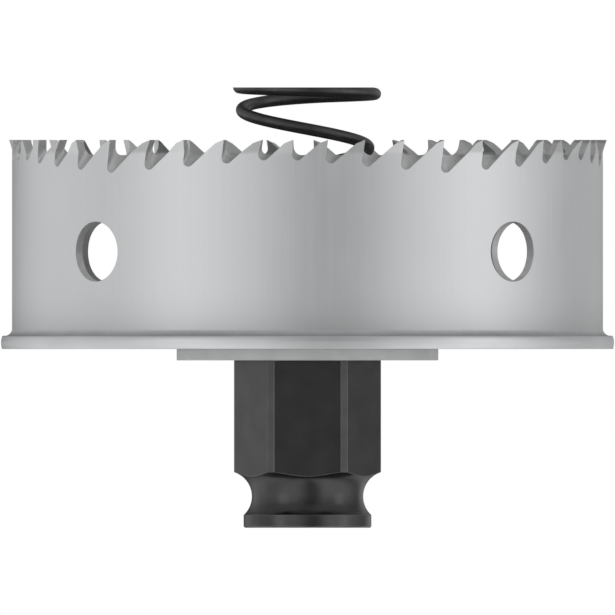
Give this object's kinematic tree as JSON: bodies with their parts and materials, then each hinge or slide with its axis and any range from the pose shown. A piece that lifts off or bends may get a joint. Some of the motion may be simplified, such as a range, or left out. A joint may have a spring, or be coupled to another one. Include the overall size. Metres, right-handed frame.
{
  "type": "hole saw",
  "caption": "Shallow hole saw: a toothed bi-metal cup with sight holes, a wide base disc, a hexagonal quick-change shank with a ball groove, and a conical ejector spring.",
  "frame": {"origin": "centre of the shank's lower end face", "axes": "+Z along the saw's axis, from the shank to the tooth tips; one flat of the hexagon faces -Y"},
  "size_m": [0.081, 0.081, 0.0581],
  "materials": {
    "band_steel": "satin, bead-blasted grey steel",
    "disc_steel": "satin turned steel",
    "washer_steel": "satin rolled steel",
    "hub_black": "black oxide",
    "spring_black": "black oxide, oiled"
  },
  "bodies": {
    "saw": {"saw_band": "band_steel", "stop_flange": "disc_steel", "backing_washer": "washer_steel", "hub": "hub_black"},
    "spring": {"ejector_spring": "spring_black"}
  },
  "joints": [
    {"name": "ejector_press", "type": "slide", "parent": "saw", "child": "spring", "axis": [0, 0, -1], "range_m": [0, 0.02], "stiffness_N_per_m": 6300, "deforming": ["ejector_spring"]}
  ]
}
